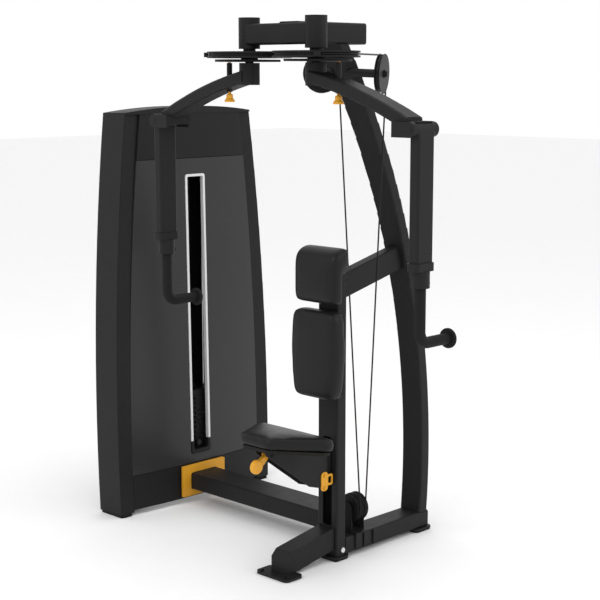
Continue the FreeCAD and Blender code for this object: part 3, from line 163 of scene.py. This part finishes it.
def make_material(name, colour, rough, grain, depth, spread=0.12, metallic=0.0,
                  rough_spread=0.08, patch=6.0, stretch=None, round_edge=0.0012, shine=0.14):
    """Painted, moulded or metal surface: patchy colour and gloss, fine grain, softened edges."""
    material = bpy.data.materials.new(name)
    material.use_nodes = True
    tree = material.node_tree
    shader = tree.nodes["Principled BSDF"]
    shader.inputs["Metallic"].default_value = metallic
    shader.inputs["Specular IOR Level"].default_value = shine
    coords = tree.nodes.new("ShaderNodeTexCoord")

    patches = noise(tree, coords, patch)
    mix = tree.nodes.new("ShaderNodeMix")
    mix.data_type = "RGBA"
    dark = tuple(c * (1 - spread) for c in colour) + (1.0,)
    light = tuple(min(1.0, c * (1 + spread)) for c in colour) + (1.0,)
    mix.inputs[MIX_COLOUR_A].default_value = dark
    mix.inputs[MIX_COLOUR_B].default_value = light
    tree.links.new(patches.outputs["Fac"], mix.inputs[0])
    tree.links.new(mix.outputs[MIX_COLOUR_OUT], shader.inputs["Base Color"])

    gloss = noise(tree, coords, patch * GLOSS_FINENESS, GLOSS_DETAIL)
    spread_rough = tree.nodes.new("ShaderNodeMapRange")
    spread_rough.inputs["To Min"].default_value = rough - rough_spread
    spread_rough.inputs["To Max"].default_value = rough + rough_spread
    tree.links.new(gloss.outputs["Fac"], spread_rough.inputs["Value"])
    tree.links.new(spread_rough.outputs["Result"], shader.inputs["Roughness"])

    fine = noise(tree, coords, grain, GRAIN_DETAIL, stretch)
    bump = new_node(tree, "ShaderNodeBump", Strength=BUMP_STRENGTH, Distance=depth)
    tree.links.new(fine.outputs["Fac"], bump.inputs["Height"])
    if round_edge:
        bevel = new_node(tree, "ShaderNodeBevel", Radius=round_edge)
        bevel.samples = BEVEL_SAMPLES
        tree.links.new(bevel.outputs["Normal"], bump.inputs["Normal"])
    tree.links.new(bump.outputs["Normal"], shader.inputs["Normal"])
    return material


def make_materials():
    """One material for each slot of the record."""
    return {
        "black_frame": make_material("black_frame", BLACK_COAT, 0.48, 900, 0.00035),
        "black_arm": make_material("black_arm", ARM_COAT, 0.44, 900, 0.00035),
        "panel_grey": make_material("panel_grey", PANEL_GREY, 0.24, 1200, 0.00004, patch=1.5,
                                    shine=0.30, rough_spread=0.04),
        "panel_dark": make_material("panel_dark", PANEL_DARK, 0.42, 1000, 0.0002, patch=2.0),
        "accent_orange": make_material("accent_orange", AMBER, 0.40, 800, 0.0002, 0.06, shine=0.3),
        "trim_light": make_material("trim_light", LIGHT_TRIM, 0.42, 500, 0.0002, 0.05, 0.3,
                                    stretch=(1, 1, 0.02)),
        "upholstery": make_material("upholstery", VINYL, 0.34, 420, 0.0004, patch=9, round_edge=0,
                                    shine=0.15),
        "board": make_material("board", STAINED_WOOD, 0.6, 120, 0.0004, 0.3, stretch=(1, 1, 0.1)),
        "rubber_black": make_material("rubber_black", RUBBER, 0.66, 700, 0.0006),
        "plastic_black": make_material("plastic_black", NYLON, 0.42, 600, 0.0002),
        "steel_bright": make_material("steel_bright", STEEL, 0.3, 300, 0.0001, 0.1, 1.0),
        "chrome_rod": make_material("chrome_rod", CHROME, 0.16, 200, 0.00005, 0.05, 1.0,
                                    rough_spread=0.04),
        "cast_black": make_material("cast_black", CAST, 0.5, 350, 0.0006),
        "cable_black": make_material("cable_black", CABLE, 0.38, 1500, 0.0003, round_edge=0),
        "zinc_bolt": make_material("zinc_bolt", BOLT, 0.34, 500, 0.0001, 0.15, 0.8),
    }


def paint_nodes(materials):
    """Give every CAD node the material of its slot in the record."""
    for part in frame["record"]["subparts"]:
        mesh = NODES[part["node"]].data
        mesh.materials.clear()
        mesh.materials.append(materials[part["material_slot"]])


# ---- new pieces --------------------------------------------------------------------------------
def add_mesh(name, mesh, material, body):
    """New rigid piece that rides a CAD body."""
    piece = bpy.data.objects.new(name, mesh)
    mesh.materials.append(material)
    SCENE.collection.objects.link(piece)
    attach(piece, body)


def block_mesh(name, low, high, soften):
    """Box between two corners, with its edges softened."""
    mesh = bpy.data.meshes.new(name)
    build = bmesh.new()
    bmesh.ops.create_cube(build, size=1.0)
    size = [b - a for a, b in zip(low, high)]
    middle = [(a + b) / 2 for a, b in zip(low, high)]
    bmesh.ops.scale(build, vec=size, verts=build.verts)
    bmesh.ops.translate(build, vec=middle, verts=build.verts)
    bmesh.ops.bevel(build, geom=build.edges[:], offset=soften, segments=SOFTEN_SEGMENTS,
                    affect="EDGES")
    build.to_mesh(mesh)
    build.free()
    return mesh


def disc_mesh(name, centre, axis, radius, thick):
    """Slightly tapered disc, centred on a point and standing along an axis."""
    mesh = bpy.data.meshes.new(name)
    build = bmesh.new()
    bmesh.ops.create_cone(build, cap_ends=True, segments=DISC_SEGMENTS, radius1=radius,
                          radius2=radius * PLUG_TAPER, depth=thick)
    turn = Vector((0, 0, 1)).rotation_difference(Vector(axis)).to_matrix().to_4x4()
    bmesh.ops.transform(build, matrix=Matrix.Translation(centre) @ turn, verts=build.verts)
    build.to_mesh(mesh)
    build.free()
    return mesh


def add_small_pieces(materials):
    """Post plug, and dark blocks on the elbow forks that paint the shade in their recesses."""
    plug_material = make_material("plug_white", PLUG, 0.45, 300, 0.0001, 0.04)
    _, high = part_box("seat_post")
    plug = disc_mesh("post_plug", (high.x + PLUG_PROUD, PLUG_Y, PLUG_Z), (1, 0, 0),
                     PLUG_RADIUS, PLUG_THICK)
    add_mesh("post_plug", plug, plug_material, "frame")

    for side, sign in (("right", 1), ("left", -1)):
        _, tube_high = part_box("drop_tube_" + side)
        x = sign * ELBOW_X
        # painted shade: this dark block, in the rubber black material, fills the elbow fork's
        # recess, which is only in shade
        shade_block = block_mesh("elbow_shade_block_" + side,
                         (x - ELBOW_HALF_X, ELBOW_FRONT, tube_high.z - ELBOW_SINK),
                         (x + ELBOW_HALF_X, ELBOW_REAR, tube_high.z + ELBOW_RISE), ELBOW_SOFTEN)
        add_mesh("elbow_shade_block_" + side, shade_block, materials["rubber_black"], "swing_arm_" + side)


def add_lift_cables(material):
    """The last runs over the weights, as two round cables reaching up to the top pulleys."""
    low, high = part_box("lift_cables")
    radius = (high.x - low.x) / 2
    x = (low.x + high.x) / 2
    build = bmesh.new()
    for y in (low.y + radius, high.y - radius):
        run = []
        for step in range(CABLE_STEPS + 1):
            z = low.z + (high.z - low.z) * step / CABLE_STEPS
            run.append([build.verts.new((x + radius * math.cos(math.tau * side / CABLE_SIDES),
                                         y + radius * math.sin(math.tau * side / CABLE_SIDES), z))
                        for side in range(CABLE_SIDES)])
        for lower, upper in zip(run, run[1:]):
            for side in range(CABLE_SIDES):
                after = (side + 1) % CABLE_SIDES
                build.faces.new((lower[side], lower[after], upper[after], upper[side]))
        build.faces.new(run[0][::-1])
        build.faces.new(run[-1])
    mesh = bpy.data.meshes.new("lift_cable_runs")
    build.to_mesh(mesh)
    build.free()
    for polygon in mesh.polygons:
        polygon.use_smooth = len(polygon.vertices) == 4
    mesh.materials.append(material)
    piece = bpy.data.objects.new("lift_cable_runs", mesh)
    SCENE.collection.objects.link(piece)
    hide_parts("lift_cables")
    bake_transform(piece)


# ---- cushions ----------------------------------------------------------------------------------
def smoothed(piece, passes):
    """Even out the surface with a number of smoothing passes."""
    smooth = piece.modifiers.new("soften", "SMOOTH")
    smooth.factor = SMOOTH_FACTOR
    smooth.iterations = passes
    settle(piece)


def remeshed(source, name):
    """Copy of a CAD solid with an even mesh, which cloth and smoothing can move."""
    piece = bpy.data.objects.new(name, source.data.copy())
    SCENE.collection.objects.link(piece)
    modifier = piece.modifiers.new("voxels", "REMESH")
    modifier.mode = "VOXEL"
    modifier.voxel_size = VOXEL
    settle(piece)
    return piece


def settle(piece):
    """Keep the shape that the modifiers give, and drop the modifiers."""
    graph = bpy.context.evaluated_depsgraph_get()
    mesh = bpy.data.meshes.new_from_object(piece.evaluated_get(graph))
    piece.modifiers.clear()
    piece.data = mesh


def swell(piece, pinned):
    """Cloth under pressure, held where pinned, with the movement capped."""
    group = piece.vertex_groups.new(name="held")
    start = [v.co.copy() for v in piece.data.vertices]
    group.add([i for i, co in enumerate(start) if pinned(co)], 1.0, "REPLACE")
    cloth = piece.modifiers.new("cloth", "CLOTH")
    settings = cloth.settings
    settings.quality = CLOTH_QUALITY
    settings.mass = CLOTH_MASS
    settings.tension_stiffness = STRETCH_STIFFNESS
    settings.compression_stiffness = STRETCH_STIFFNESS
    settings.bending_stiffness = BENDING_STIFFNESS
    settings.use_pressure = True
    settings.uniform_pressure_force = PRESSURE
    settings.effector_weights.gravity = 0
    settings.vertex_group_mass = "held"
    cloth.point_cache.frame_start = 1
    cloth.point_cache.frame_end = FRAMES
    for number in range(1, FRAMES + 1):
        SCENE.frame_set(number)
    settle(piece)
    SCENE.frame_set(1)
    for vertex, before in zip(piece.data.vertices, start):
        move = vertex.co - before
        if move.length > SWELL_CAP:
            vertex.co = before + move.normalized() * SWELL_CAP


def thinned(piece, axis, face, sign):
    """Take a little off the sitting or leaning face before it swells."""
    for vertex in piece.data.vertices:
        depth = sign * (vertex.co[axis] - face)
        share = max(0.0, min(1.0, 1 + depth / THIN_DEPTH))
        vertex.co[axis] -= sign * THIN * share


def add_cushion(node, body, axis, sign, hold, material):
    """Foam pad in place of a CAD solid; axis and sign say which face is leaned or sat on."""
    low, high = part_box(node)
    face = (high if sign > 0 else low)[axis]
    piece = remeshed(NODES[node], node + "_cushion")
    smoothed(piece, ROUNDING[node])
    thinned(piece, axis, face, sign)
    swell(piece, hold)
    smoothed(piece, TIGHTENING)
    for polygon in piece.data.polygons:
        polygon.use_smooth = True
    piece.data.materials.clear()
    piece.data.materials.append(material)
    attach(piece, body)
    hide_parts(node)


def add_cushions(material):
    """Back pad, head pad and seat, each held where it meets its board."""
    _, back_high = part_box("back_pad")
    _, head_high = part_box("head_pad")
    add_cushion("back_pad", "frame", 1, -1, lambda co: co.y > back_high.y - BACK_HOLD, material)
    add_cushion("head_pad", "frame", 1, -1, lambda co: co.y > head_high.y - HEAD_HOLD, material)
    slope = math.tan(math.radians(SEAT_TILT))
    seat_low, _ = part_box("seat_pad")

    def near_board(co):
        bottom = seat_low.z - slope * (co.y - SEAT_REAR_Y)
        return co.z < bottom + SEAT_HOLD
    add_cushion("seat_pad", "seat", 2, 1, near_board, material)


# ---- studio ------------------------------------------------------------------------------------
def add_floor():
    """Plain pale floor."""
    bpy.ops.mesh.primitive_plane_add(size=FLOOR_SIZE, location=(0, 0, -FLOOR_DROP))
    floor = bpy.context.object
    floor.name = "studio_floor"
    floor.data.materials.append(
        make_material("studio_floor", FLOOR, 0.75, 40, 0.0001, 0.01, round_edge=0))


def add_lamp(name, at, towards, size, power):
    """Round soft lamp aimed at a point."""
    data = bpy.data.lights.new(name, "AREA")
    data.shape = "DISK"
    data.size = size
    data.energy = power
    lamp = bpy.data.objects.new(name, data)
    lamp.location = at
    aim = Vector(towards) - Vector(at)
    lamp.rotation_euler = aim.to_track_quat("-Z", "Y").to_euler()
    SCENE.collection.objects.link(lamp)


def add_lights():
    """Soft studio light: a white world and three large lamps."""
    world = bpy.data.worlds.new("studio")
    world.use_nodes = True
    background = world.node_tree.nodes["Background"]
    background.inputs["Color"].default_value = (1, 1, 1, 1)
    background.inputs["Strength"].default_value = 1.0
    SCENE.world = world
    for name, (at, towards, size, power) in LAMPS.items():
        add_lamp(name, at, towards, size, power)
    SCENE.view_settings.view_transform = "Standard"


def main():
    make_camera()
    materials = make_materials()
    paint_nodes(materials)
    add_lift_cables(materials["cable_black"])
    add_small_pieces(materials)
    add_cushions(materials["upholstery"])
    add_floor()
    add_lights()


main()
